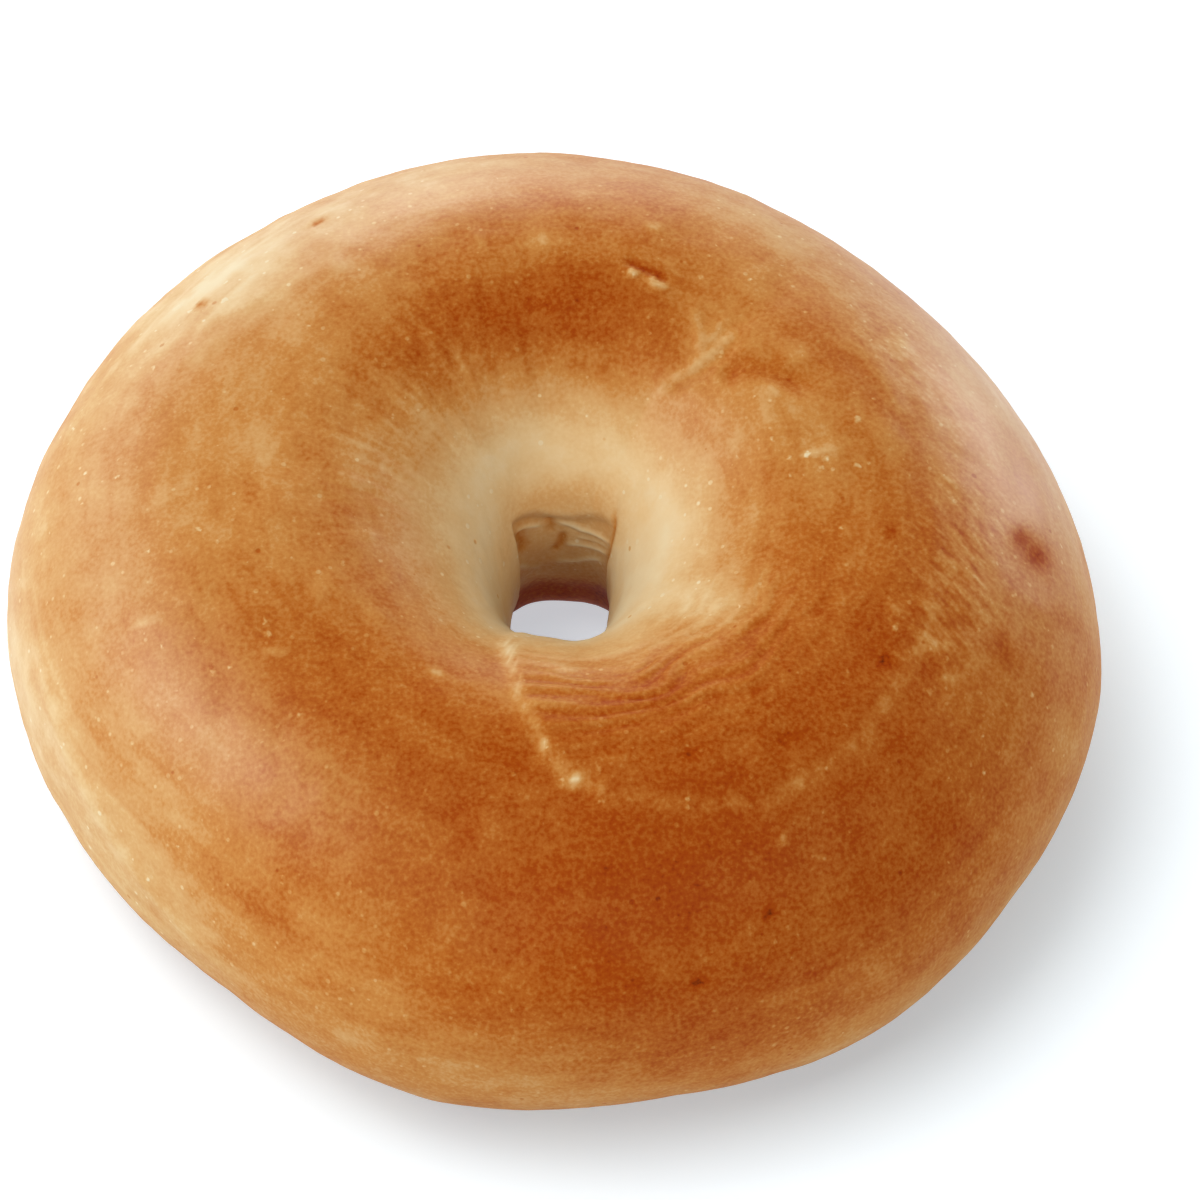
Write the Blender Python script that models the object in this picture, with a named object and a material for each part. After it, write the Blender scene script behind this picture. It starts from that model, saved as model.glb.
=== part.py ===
"""A plain bagel: one ring of baked dough, lying on its flat base.

The ring is a torus whose points are placed again by ring_point(), from two angles.
"turn" goes round the ring, counter-clockwise from +X.  "roll" goes round the dough,
from the widest outer point over the crest and down through the neck of the hole to
the base.  Four quarters of superellipses meet at the outer rim, the crest, the neck
and the base, and the part of them that would sink below the table is pressed flat.
"""
import bpy
import numpy as np

# Driving sizes, in metres.
OUTER_RADIUS = 0.0536          # of the circle that the outline waves about
HEIGHT = 0.039                 # from the table to the crest
HOLE_HALF_X = 0.0048           # half sizes of the squarish neck of the hole
HOLE_HALF_Y = 0.0072
BASE_SINK = 0.003              # how deep the dough was pressed flat by its own weight
BASE_CORNER = 0.0012           # height over which the flat base turns into the flank
LAP_HEIGHT = 0.0006            # how far the lapped end of the rope stands proud

# Shape of the dough, as shares and exponents.
CREST_SHARE = 0.48             # place of the crest between the neck and the outer rim
RIM_HEIGHT_SHARE = 0.42        # height of the widest outer point
NECK_HEIGHT_SHARE = 0.45       # height of the narrowest point of the hole
OUTER_TOP_FULLNESS = 2.0       # superellipse exponents of the four quarters
INNER_TOP_FULLNESS = 1.9
OUTER_BASE_FULLNESS = 2.3
INNER_BASE_FULLNESS = 2.2
HOLE_SQUARENESS = 3.0
HOLE_TURN = np.radians(-6.0)

# The uneven outline: waves round the ring, each its count, height in metres and the
# place of its first high in degrees.
OUTLINE_WAVES = (
    (1, 0.00075, 180.0),
    (2, 0.00155, -38.0),
    (3, 0.00016, -34.0),
    (4, 0.00054, -6.0),
    (6, 0.00024, 14.0),
    (7, 0.00012, -6.0),
)

# The end of the rope of dough laps over the rest, from the lip of the hole at the
# front, outwards, and round the right side.  Turns and rolls are in degrees.
LAP_START = -114.0
LAP_END = 50.0
LAP_OUTER_ROLL = 62.0          # of the lap's edge where it lies furthest out
LAP_LIP_SWING = 68.0           # how much higher the edge starts, at the lip of the hole
LAP_LIP_WIDTH = 22.0           # turn over which it swings out from there
LAP_RIGHT_SWING = 8.5          # how much it comes back in on the right side
LAP_RIGHT_TURN = 12.0
LAP_RIGHT_WIDTH = 45.0
LAP_STEP = 9.0                 # roll over which the lap rises to its full height
LAP_RUN_OUT = 60.0             # roll over which it comes down again towards the hole
LAP_END_FADE = 14.0            # turn over which it runs out at its two ends

TURN_SEGMENTS = 88
ROLL_SEGMENTS = 40
CRUST_COLOR = (0.46, 0.19, 0.055, 1.0)
CRUST_ROUGHNESS = 0.45


def signed_power(values, power):
    """The power of the size of each value, with the value's own sign."""
    return np.sign(values) * np.abs(values) ** power


def bell(distance, width):
    """A bell curve: one at no distance, and about a third at the given width."""
    return np.exp(-((distance / width) ** 2))


def smooth_step(share):
    """An S-shaped rise from nought at share 0 to one at share 1."""
    share = np.clip(share, 0.0, 1.0)
    return share * share * (3.0 - 2.0 * share)


def outline_radius(turn):
    """Distance of the outer rim from the hole's axis: a circle plus a few waves."""
    radius = np.full_like(turn, OUTER_RADIUS)
    for count, height, first_high in OUTLINE_WAVES:
        radius += height * np.cos(count * (turn - np.radians(first_high)))
    return radius


def neck_radius(turn):
    """Distance of the hole's neck from its axis: a superellipse, slightly turned."""
    angle = turn - HOLE_TURN
    across = np.abs(np.cos(angle) / HOLE_HALF_X) ** HOLE_SQUARENESS
    along = np.abs(np.sin(angle) / HOLE_HALF_Y) ** HOLE_SQUARENESS
    return (across + along) ** (-1.0 / HOLE_SQUARENESS)


def lap_relief(turn, roll):
    """Height of the lapped rope end above the rest of the crust.

    The edge of the lap is a line of roll against turn that starts high at the lip of
    the hole and swings out.  Past that edge the lap rises in a smooth step, and it
    fades towards the hole and at the two ends of the lap.
    """
    turn = np.degrees(turn)
    roll = np.degrees(roll)
    edge = (
        LAP_OUTER_ROLL
        + LAP_LIP_SWING * bell(turn - LAP_START, LAP_LIP_WIDTH)
        + LAP_RIGHT_SWING * bell(turn - LAP_RIGHT_TURN, LAP_RIGHT_WIDTH)
    )
    rise = smooth_step((roll - edge) / LAP_STEP)
    towards_hole = 1.0 - smooth_step((roll - edge) / LAP_RUN_OUT)
    start = smooth_step((turn - LAP_START) / LAP_END_FADE)
    end = smooth_step((LAP_END - turn) / LAP_END_FADE)
    return LAP_HEIGHT * rise * towards_hole * start * end


def pressed_flat(height):
    """Height after the base is pressed on the table, with a small rounded corner."""
    corner = (height + BASE_CORNER) ** 2 / (4.0 * BASE_CORNER)
    corner = np.where(height <= -BASE_CORNER, 0.0, corner)
    return np.where(height >= BASE_CORNER, height, corner)


def ring_point(turn, roll):
    """The point of the crust at a turn round the ring and a roll round the dough."""
    outer = outline_radius(turn)
    neck = neck_radius(turn)
    crest = neck + CREST_SHARE * (outer - neck)
    cosine = np.cos(roll)
    sine = np.sin(roll)
    is_outer = cosine >= 0.0
    is_top = sine >= 0.0
    top_fullness = np.where(is_outer, OUTER_TOP_FULLNESS, INNER_TOP_FULLNESS)
    base_fullness = np.where(is_outer, OUTER_BASE_FULLNESS, INNER_BASE_FULLNESS)
    power = 2.0 / np.where(is_top, top_fullness, base_fullness)
    reach = np.where(is_outer, outer - crest, crest - neck)
    radius = crest + reach * signed_power(cosine, power)
    middle = HEIGHT * np.where(is_outer, RIM_HEIGHT_SHARE, NECK_HEIGHT_SHARE)
    above = np.where(is_top, HEIGHT - middle, middle + BASE_SINK)
    height = pressed_flat(middle + above * signed_power(sine, power))
    height += lap_relief(turn, roll)
    return np.stack((radius * np.cos(turn), radius * np.sin(turn), height), axis=-1)


def remove_scene_objects():
    """Empty the scene of whatever the start-up file holds."""
    for found in list(bpy.data.objects):
        bpy.data.objects.remove(found, do_unlink=True)


def make_crust_material():
    """Golden brown baked crust with a satin shine."""
    material = bpy.data.materials.new("baked_crust")
    material.use_nodes = True
    shader = material.node_tree.nodes["Principled BSDF"]
    shader.inputs["Base Color"].default_value = CRUST_COLOR
    shader.inputs["Roughness"].default_value = CRUST_ROUGHNESS
    shader.inputs["Metallic"].default_value = 0.0
    return material


def make_bagel():
    """Reshape a torus into the bagel, centred on its own box and standing on the table."""
    ring_radius = OUTER_RADIUS / 2.0
    bpy.ops.mesh.primitive_torus_add(
        major_segments=TURN_SEGMENTS,
        minor_segments=ROLL_SEGMENTS,
        major_radius=ring_radius,
        minor_radius=ring_radius / 2.0,
    )
    bagel = bpy.context.object
    bagel.name = "bagel"
    mesh = bagel.data
    mesh.name = "bagel"
    places = np.empty(len(mesh.vertices) * 3)
    mesh.vertices.foreach_get("co", places)
    places = places.reshape(-1, 3)
    turn = np.arctan2(places[:, 1], places[:, 0])
    from_ring = np.hypot(places[:, 0], places[:, 1]) - ring_radius
    roll = np.mod(np.arctan2(places[:, 2], from_ring), 2.0 * np.pi)
    points = ring_point(turn, roll)
    lowest = points.min(axis=0)
    highest = points.max(axis=0)
    points[:, :2] -= (lowest[:2] + highest[:2]) / 2.0
    mesh.vertices.foreach_set("co", points.ravel())
    mesh.update()
    mesh.shade_smooth()
    mesh.materials.append(make_crust_material())
    return bagel


def main():
    """Build the bagel in a collection of its own."""
    remove_scene_objects()
    bagel = make_bagel()
    collection = bpy.data.collections.new("bagel")
    bpy.context.scene.collection.children.link(collection)
    for holder in list(bagel.users_collection):
        holder.objects.unlink(bagel)
    collection.objects.link(bagel)


main()
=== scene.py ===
"""Looks of a plain bagel: its baked crust, a pale floor, soft studio light and a camera."""

import bpy
import numpy as np
from bpy.props import (
    FloatProperty,
    FloatVectorProperty,
    IntProperty,
    PointerProperty,
)
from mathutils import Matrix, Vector


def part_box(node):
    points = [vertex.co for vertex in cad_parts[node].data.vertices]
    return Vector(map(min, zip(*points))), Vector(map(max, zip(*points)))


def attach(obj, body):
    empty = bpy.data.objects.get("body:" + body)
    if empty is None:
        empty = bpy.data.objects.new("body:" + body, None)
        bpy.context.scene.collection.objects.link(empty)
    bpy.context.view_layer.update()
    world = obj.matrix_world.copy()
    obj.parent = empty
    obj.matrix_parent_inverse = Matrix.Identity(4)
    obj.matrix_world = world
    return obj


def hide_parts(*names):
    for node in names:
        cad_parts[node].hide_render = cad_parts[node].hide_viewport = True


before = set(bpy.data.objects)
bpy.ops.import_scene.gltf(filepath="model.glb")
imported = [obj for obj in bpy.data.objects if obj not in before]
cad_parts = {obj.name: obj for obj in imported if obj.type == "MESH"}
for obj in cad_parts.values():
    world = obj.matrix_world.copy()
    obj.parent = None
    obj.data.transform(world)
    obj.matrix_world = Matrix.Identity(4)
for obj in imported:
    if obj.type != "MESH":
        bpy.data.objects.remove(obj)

bl_info = {
    "name": "Plain Bagel",
    "version": (1, 0, 0),
    "blender": (4, 5, 0),
    "location": "View3D > Sidebar > Bagel",
    "description": "Makes the crust of a plain baked bagel and a studio stage for it",
    "category": "Add Mesh",
}

CAD_LOW, CAD_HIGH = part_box("bagel")
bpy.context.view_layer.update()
CAD_MIDDLE = (CAD_LOW + CAD_HIGH) / 2.0
CAD_WIDTH = CAD_HIGH.x - CAD_LOW.x
MM = 0.001

# The uneven outline: waves round the ring, each its count, height as a share of the
# width and the place of its first high in degrees.
OUTLINE_WAVES = (
    (1, 0.00688, 180.0),
    (2, 0.01421, -38.0),
    (3, 0.00147, -34.0),
    (4, 0.00495, -6.0),
    (6, 0.00220, 14.0),
    (7, 0.00110, -6.0),
)
TURN_COUNT = 440
ROLL_COUNT = 226
ROLL_START = -64.0
# How far the crust is baked at each roll round the dough, from 0, cream, over 0.8,
# chestnut, to 1.25, scorched: up the side, over the crest, down the hole, over the base;
# deep in the hole it is partly painted shade.
SCORCHED = 1.25
BAKE_AND_SHADE_STOPS = (
    (-60.0, 0.56),
    (-50.0, 0.50),
    (-35.0, 0.40),
    (-10.0, 0.36),
    (20.0, 0.40),
    (40.0, 0.44),
    (60.0, 0.48),
    (80.0, 0.54),
    (100.0, 0.56),
    (110.0, 0.51),
    (120.0, 0.40),
    (130.0, 0.23),
    (140.0, 0.07),
    (150.0, 0.02),
    (160.0, 0.03),
    # deep in the hole the level rises: the browned foot of the wall, with painted shade in the narrow neck
    (170.0, 0.07),
    (182.0, 0.16),
    (191.0, 0.30),
    (196.0, 0.62),
    (200.0, 0.88),
    (206.0, 0.92),
    (235.0, 0.96),
    (248.0, 0.72),
    (270.0, 0.64),
    (296.0, 0.68),
)
# Where the oven browned the crust more or less, with painted shade in the lobes so marked: the
# middle and width of each lobe round the ring, then its middle and width round the dough, in
# degrees, and the change of bake.
BAKE_AND_SHADE_LOBES = (
    (-68.0, 45.0, 50.0, 45.0, 0.34),  # the dark front
    (-97.0, 14.0, 54.0, 12.0, 0.07),
    (-17.0, 12.0, 34.0, 12.0, 0.10),  # its right end
    (-66.0, 16.0, 34.0, 12.0, -0.07),
    (-142.0, 18.0, 8.0, 12.0, 0.08),
    (-90.0, 60.0, 24.0, 17.0, 0.12),  # its lower edge
    (-62.0, 26.0, 2.0, 9.0, 0.12),
    (-125.0, 25.0, 85.0, 15.0, 0.09),  # its inner left end
    (-30.0, 22.0, 72.0, 14.0, 0.08),  # its inner right end
    (-165.0, 45.0, 15.0, 30.0, -0.28),  # the pale left side
    (-172.0, 20.0, 58.0, 18.0, -0.07),  # the left shoulder
    (132.0, 28.0, 53.0, 24.0, -0.38),  # the palest patch, at the back left
    (84.0, 32.0, 54.0, 16.0, -0.08),  # the outer crest at the back
    (92.0, 38.0, 110.0, 13.0, 0.23),  # the dark inner crest at the back
    (30.0, 28.0, 54.0, 18.0, -0.12),  # the pale right side
    (14.0, 24.0, 26.0, 14.0, -0.10),  # the pale rim at the right
    (46.0, 12.0, 52.0, 10.0, -0.05),
    (84.0, 12.0, 50.0, 9.0, -0.09),
    (32.0, 20.0, 82.0, 10.0, 0.05),  # the browner hollow above it
    (25.0, 30.0, 100.0, 18.0, -0.15),  # the swell of the tucked end
    (165.0, 35.0, 88.0, 25.0, -0.16),  # the left crest
    (172.0, 16.0, 106.0, 10.0, 0.07),  # the funnel's left side
    (160.0, 16.0, 60.0, 8.0, 0.12),
    (-158.0, 20.0, 135.0, 10.0, 0.09),
    (-104.0, 10.0, 104.0, 8.0, -0.12),  # beside the lap's edge
    (-38.0, 20.0, 127.0, 10.0, -0.08),  # the pale right end of the front lip
    (-38.0, 12.0, 113.0, 9.0, -0.29),  # the pale streak above it
    (-76.0, 14.0, 121.0, 7.0, -0.12),  # the pale middle of the lip
    (88.0, 60.0, 157.0, 8.0, 0.18),  # painted shade on the wall below the funnel
    (56.0, 20.0, 195.0, 5.0, 0.30),  # the right end of the dark band at the base: browned crust with painted shade
    (10.0, 30.0, 130.0, 12.0, -0.08),  # the right wall of the hole
)

# Where the crust is glazed: places and widths as above, and the glaze.
GLAZE_LOBES = (
    (22.0, 34.0, 42.0, 28.0, 0.85),  # the right side
    (126.0, 28.0, 63.0, 21.0, 1.0),  # the back left
    (14.0, 14.0, 36.0, 12.0, 0.5),
    (82.0, 34.0, 57.0, 18.0, 0.40),  # the back
    (35.0, 30.0, 122.0, 14.0, 0.30),
    (-178.0, 30.0, 108.0, 18.0, 0.25),
    (-166.0, 45.0, 54.0, 20.0, 0.45),  # the left shoulder
    (-172.0, 26.0, 14.0, 16.0, 0.50),  # the left rim
    (-140.0, 28.0, 52.0, 20.0, 0.30),
    (0.0, 44.0, 148.0, 13.0, 0.90),  # the right wall of the hole
    (-100.0, 60.0, 116.0, 12.0, 0.25),  # the front lip
)

# The crease where the rope's tucked end stops, and the folds beside it: (turn, roll)
# knots in degrees, from the crest down the back wall of the hole.
TUCK_CREASE = (
    (47.0, 88.0),
    (47.6, 101.0),
    (48.4, 106.0),
    (50.2, 113.0),
    (58.0, 123.0),
    (57.0, 140.0),
    (50.5, 156.0),
    (46.0, 164.0),
    (49.0, 174.0),
    (49.0, 184.0),
)
# Lines in the crust: knots, half width and rise in millimetres, change of bake, which in
# the folds, the blister and the wall of the hole holds painted shade and light, as marked.
STROKES = (
    # the fold that arches over the tucked end's swell: a groove with painted shade in it
    (((43.5, 108.5), (42.0, 105.0), (40.0, 101.0), (36.5, 97.0), (33.0, 94.8), (28.0, 92.0),
      (23.0, 90.0)), 1.5, -0.40, 0.24),
    # folds that branch off the crease
    (((60.5, 96.4), (57.2, 99.6), (54.5, 102.8), (51.0, 107.0)), 0.5, 0.14, -0.14),
    (((52.2, 104.0), (51.4, 100.0), (52.2, 96.0), (51.5, 92.0)), 0.4, 0.10, -0.10),
    (((49.5, 101.0), (48.2, 97.5), (48.6, 94.0)), 0.4, 0.12, -0.12),
    # the shoulder at the lower left: a browner band, and the pale edge of the rolled skin
    (((-168.0, 40.0), (-159.0, 33.0), (-152.0, 29.0), (-145.0, 25.5), (-131.0, 26.0),
      (-123.0, 25.0), (-112.0, 22.0)), 2.0, 0.0, 0.12),
    (((-172.0, 28.0), (-163.0, 22.0), (-157.0, 18.0), (-150.0, 13.0), (-143.0, 7.0),
      (-134.0, 0.0), (-125.0, -3.0)), 1.3, 0.22, -0.07),
    # stretch lines at the back left
    (((166.0, 41.0), (159.0, 48.0), (151.0, 55.0), (142.0, 67.0), (130.0, 75.0)), 0.9, 0.10, -0.07),
    (((172.0, 46.0), (163.0, 53.0), (155.0, 61.0), (146.0, 72.0)), 0.8, 0.06, -0.05),
    (((160.0, 36.0), (150.0, 44.0), (139.0, 52.0), (127.0, 58.0)), 0.7, 0.06, -0.06),
    # the pale edge of the glazed side at the right, and the dark line inside it
    (((52.0, 64.0), (43.0, 64.0), (34.0, 66.0), (25.0, 69.0)), 1.0, 0.08, -0.06),
    (((36.0, 82.0), (28.0, 76.0), (19.0, 75.5), (10.0, 72.0), (0.0, 73.0), (-9.0, 73.5),
      (-15.0, 70.0)), 0.9, -0.08, 0.06),
    # the blister on the inner crest at the back: a dark crescent of painted shade and its pale crown
    (((77.5, 90.0), (75.5, 91.0), (72.8, 91.6), (70.5, 91.8), (66.5, 93.6)), 0.5, -0.26, 0.34),
    (((76.0, 93.8), (73.4, 94.8)), 0.5, 0.30, -0.50),
    (((71.4, 93.8), (69.4, 95.6), (66.4, 94.8)), 0.45, 0.28, -0.40),
    # ridges across the back wall of the hole, paler with painted light on their tops
    (((121.0, 165.0), (112.0, 166.0), (102.0, 168.0)), 0.28, 0.26, -0.18),
    (((96.0, 166.0), (83.0, 167.0), (74.5, 168.6), (60.0, 168.4), (46.5, 167.0)), 0.30, 0.30, -0.20),
    (((78.0, 171.8), (66.0, 171.4), (50.0, 169.6)), 0.20, 0.16, -0.12),
    (((87.0, 175.6), (68.0, 174.6), (50.0, 172.6)), 0.28, 0.24, -0.18),
    (((97.0, 184.0), (77.0, 182.4), (55.0, 177.6)), 0.32, 0.28, -0.22),
    (((122.0, 179.0), (112.0, 184.0), (102.0, 186.5)), 0.26, 0.20, -0.14),
    # clefts between them, and the corners of the wall, darker with painted shade
    (((118.5, 165.5), (115.5, 171.0), (114.5, 176.0)), 0.50, -0.30, 0.26),
    (((98.0, 164.0), (96.0, 168.0), (98.0, 171.0)), 0.40, -0.25, 0.20),
    (((87.0, 170.0), (89.8, 176.0), (95.0, 180.0)), 0.42, -0.28, 0.26),
    (((50.5, 155.5), (46.0, 160.0), (45.2, 166.0), (49.0, 173.5), (49.2, 183.0)), 0.40, -0.25, 0.32),
)
# Single marks: turn, roll and tilt in degrees, half length, half width and rise in
# millimetres, change of bake.
MARKS = (
    (-1.8, 47.6, 1.7, 0.8, -42.0, -0.10, 0.40),  # the brown spot at the right, of two lobes
    (-3.2, 42.4, 2.0, 1.4, -40.0, -0.15, 0.44),
    (-9.0, 32.0, 2.6, 1.0, -60.0, 0.0, 0.14),
    (-19.0, 47.6, 1.6, 0.9, 30.0, -0.05, 0.20),
    (-31.5, 71.0, 1.1, 0.6, -35.0, -0.12, 0.32),  # pits
    (-52.8, 74.0, 0.9, 0.6, 0.0, -0.10, 0.22),
    (-67.8, 80.4, 0.8, 0.5, 0.0, -0.10, 0.25),
    (-8.0, 80.4, 0.9, 0.6, 0.0, -0.08, 0.25),
    (-65.2, 39.2, 0.6, 0.5, 0.0, -0.10, 0.45),
    (-74.8, 26.4, 0.6, 0.5, 0.0, -0.10, 0.40),
    (144.0, 55.0, 0.6, 0.5, 0.0, -0.10, 0.60),
    (124.0, 56.0, 0.6, 0.5, 0.0, -0.10, 0.50),
    (40.0, 82.5, 2.4, 1.3, 70.0, 0.0, 0.10),  # browner patches at the back right
    (31.0, 82.4, 2.2, 1.4, 60.0, 0.0, 0.10),
    (29.2, 99.2, 0.9, 0.6, 0.0, 0.08, -0.22),  # pale flecks
    (-87.2, 79.4, 1.0, 0.6, 35.0, 0.15, -0.55),
    (-92.4, 88.8, 0.7, 0.45, 80.0, 0.10, -0.45),
    (-83.2, 76.8, 0.6, 0.45, 0.0, 0.10, -0.40),
    (-162.0, 57.0, 1.6, 0.6, 75.0, 0.08, -0.22),
    (-146.0, 78.0, 1.2, 0.5, 40.0, 0.08, -0.30),
    (-119.5, 104.0, 1.0, 0.5, 20.0, 0.08, -0.30),
    (-60.5, 54.6, 0.8, 0.4, 30.0, 0.10, -0.40),
    (-27.6, 57.4, 1.1, 0.4, -40.0, 0.10, -0.45),
    (-24.2, 62.6, 1.2, 0.4, -40.0, 0.10, -0.42),
    (-29.6, 69.0, 0.7, 0.4, -40.0, 0.10, -0.30),
    (-22.4, 74.6, 0.8, 0.5, 60.0, 0.08, -0.28),
    (55.2, 120.4, 0.8, 0.5, 70.0, 0.08, -0.14),
    (10.0, 97.0, 1.4, 0.5, 90.0, 0.08, -0.25),
    (74.0, 77.6, 0.9, 0.6, 0.0, 0.10, -0.30),
    (93.0, 87.0, 0.4, 1.0, 0.0, 0.08, -0.22),
    (104.5, 85.0, 0.4, 1.0, 0.0, 0.08, -0.22),
)
# Where pale flecks crowd the crust: places and widths as above, and how much.
FLECK_LOBES = (
    (-88.0, 9.0, 80.0, 7.0, 0.9),
    (-28.0, 9.0, 62.0, 12.0, 1.0),
    (-14.0, 22.0, 46.0, 20.0, 0.5),
    (-60.0, 8.0, 55.0, 6.0, 0.7),
    (12.0, 16.0, 90.0, 12.0, 0.6),
    (45.0, 18.0, 64.0, 10.0, 0.7),
    (67.0, 12.0, 84.0, 8.0, 0.6),
    (148.0, 20.0, 50.0, 16.0, 0.5),
    (-152.0, 20.0, 74.0, 16.0, 0.5),
)
# Where the skin was drawn so tight that it shows fine slanting strokes.
DRAWN_LOBES = (
    (-7.0, 15.0, 60.0, 13.0, 1.0),
    (28.0, 16.0, 62.0, 12.0, 0.7),
    (-20.0, 12.0, 66.0, 10.0, 0.5),
)
DRAWN_ALONG = (1.9, -1.9, -1.1)

SOFTBOX_WIDTH = 0.6
SOFTBOX_DISTANCE = 1.2
# Each softbox's name, azimuth and elevation in degrees and power in watts, and whether
# it shows in the crust's gloss.  Flags keep these off the table.
SOFTBOXES = (
    ("left_softbox", 180.0, 36.0, 8.2, True),
    ("low_left_softbox", 180.0, 10.0, 1.9, True),
    ("back_left_softbox", 135.0, 14.0, 4.4, True),
    ("back_softbox", 90.0, 14.0, 5.0, True),
    ("back_right_softbox", 45.0, 10.0, 8.8, True),
    ("front_right_fill", 315.0, 38.0, 3.8, False),
    ("front_left_fill", 225.0, 45.0, 3.1, False),
    ("front_fill", 270.0, 33.0, 3.9, False),
    ("top_fill", 0.0, 88.0, 2.6, False),
)
# The softboxes that light the table alone: the width in metres in place of the gloss.
TABLE_SOFTBOXES = (
    ("left_table_softbox", 200.0, 56.0, 7.2, 0.9),
    ("back_left_table_softbox", 145.0, 68.0, 6.7, 0.9),
    ("overhead_table_softbox", 120.0, 82.0, 7.0, 1.2),
)


def linear_color(code):
    """The linear colour of an sRGB hex code such as '#C07030'."""
    shares = [int(code[place : place + 2], 16) / 255.0 for place in (1, 3, 5)]
    return tuple(
        share / 12.92 if share <= 0.04045 else ((share + 0.055) / 1.055) ** 2.4
        for share in shares
    )


def bell(distance, width):
    """A bell curve: one at no distance, and about a third at the given width."""
    return np.exp(-((distance / width) ** 2))


def smooth_step(share):
    """An S-shaped rise from nought at share 0 to one at share 1."""
    share = np.clip(share, 0.0, 1.0)
    return share * share * (3.0 - 2.0 * share)


def signed_power(values, power):
    """The power of the size of each value, with the value's own sign."""
    return np.sign(values) * np.abs(values) ** power


def turn_from(turn, middle):
    """Degrees from a place on the ring, wrapped to plus or minus 180."""
    return np.mod(turn - middle + 180.0, 360.0) - 180.0


def random_field(coordinates, wavelength, seed, waves=28):
    """A smooth random field: the sum of waves in random directions and phases.

    Each wave is the cosine of a place's distance along a random direction; the
    wavelengths lie within a third of the one asked for.  Its usual size is one.
    """
    draw = np.random.default_rng(seed)
    axes = coordinates.shape[-1]
    directions = draw.normal(size=(waves, axes))
    directions /= np.linalg.norm(directions, axis=1, keepdims=True)
    lengths = wavelength * draw.uniform(0.67, 1.33, size=(waves, 1))
    phases = draw.uniform(0.0, 2.0 * np.pi, size=waves)
    total = np.zeros(coordinates.shape[:-1])
    for direction, phase in zip(directions * 2.0 * np.pi / lengths, phases):
        total += np.cos(coordinates @ direction + phase)
    return total * np.sqrt(2.0 / waves)


def color_setting(name, description, code):
    """A colour property whose default is an sRGB hex code."""
    return FloatVectorProperty(
        name=name,
        description=description,
        subtype="COLOR",
        size=3,
        min=0.0,
        max=1.0,
        default=linear_color(code),
    )


class BagelShapeSettings(bpy.types.PropertyGroup):
    """Sizes of the ring of dough and depths of the relief on its crust."""

    outer_radius: FloatProperty(
        name="Outer radius",
        description="Radius of the circle that the outline waves about",
        default=CAD_WIDTH * 0.4915,
        unit="LENGTH",
    )
    height: FloatProperty(
        name="Height",
        description="From the table to the crest, without the lap",
        default=CAD_HIGH.z * 0.9868,
        unit="LENGTH",
    )
    hole_half_x: FloatProperty(
        name="Hole half width",
        description="Half the hole's neck across",
        default=4.8 * MM,
        unit="LENGTH",
    )
    hole_half_y: FloatProperty(
        name="Hole half length",
        description="Half the hole's neck from front to back",
        default=7.2 * MM,
        unit="LENGTH",
    )
    base_sink: FloatProperty(
        name="Base sink",
        description="How deep the dough was pressed flat on the sheet",
        default=3.0 * MM,
        unit="LENGTH",
    )
    lap_height: FloatProperty(
        name="Lap height",
        description="How far the lapped end of the rope of dough stands proud",
        default=0.6 * MM,
        unit="LENGTH",
    )
    wrinkle_depth: FloatProperty(
        name="Wrinkle depth",
        description="Depth of the wrinkles at the front lip of the hole",
        default=0.12 * MM,
        unit="LENGTH",
    )
    wall_fold_depth: FloatProperty(
        name="Wall fold depth",
        description="How deep the back wall of the hole folds in below its lip",
        default=0.8 * MM,
        unit="LENGTH",
    )
    blister_count: IntProperty(
        name="Blisters",
        description="Small raised blisters scattered over the crust",
        default=110,
        min=0,
    )


class BagelCrustSettings(bpy.types.PropertyGroup):
    """Colours of the crust from unbaked to scorched, and its finish."""

    cream: color_setting("Cream", "Crust that hardly baked, inside the hole", "#D3C099")
    straw: color_setting("Straw", "The palest crust outside the hole", "#CFB283")
    golden: color_setting("Golden", "Lightly baked crust, on the sides", "#C49A63")
    amber: color_setting("Amber", "Well baked crust", "#B67B3C")
    russet: color_setting("Russet", "The browned crest", "#A75E1F")
    chestnut: color_setting("Chestnut", "The darkest crust on the top", "#97430A")
    mahogany: color_setting("Mahogany", "Its darkest grain", "#903706")
    scorched: color_setting("Scorched", "The rim of the base and small burnt pits", "#4A1C08")
    grain_size: FloatProperty(
        name="Grain size",
        description="Size of the fine grain of the crust",
        default=0.46 * MM,
        unit="LENGTH",
    )
    grain_contrast: FloatProperty(
        name="Grain contrast",
        description="How much the grain changes the bake level",
        default=0.96,
    )
    grain_height: FloatProperty(
        name="Grain height",
        description="How far the grain stands proud",
        default=0.022 * MM,
        unit="LENGTH",
    )
    shine: FloatProperty(
        name="Shine",
        description="Specular level of the crust under its glaze",
        default=0.02,
        min=0.0,
        max=1.0,
    )
    roughness: FloatProperty(
        name="Roughness",
        description="Roughness of the crust",
        default=0.47,
        min=0.0,
        max=1.0,
    )
    glaze_roughness: FloatProperty(
        name="Glaze roughness",
        description="Roughness of the glaze that boiling gave the crust",
        default=0.42,
        min=0.0,
        max=1.0,
    )


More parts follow.
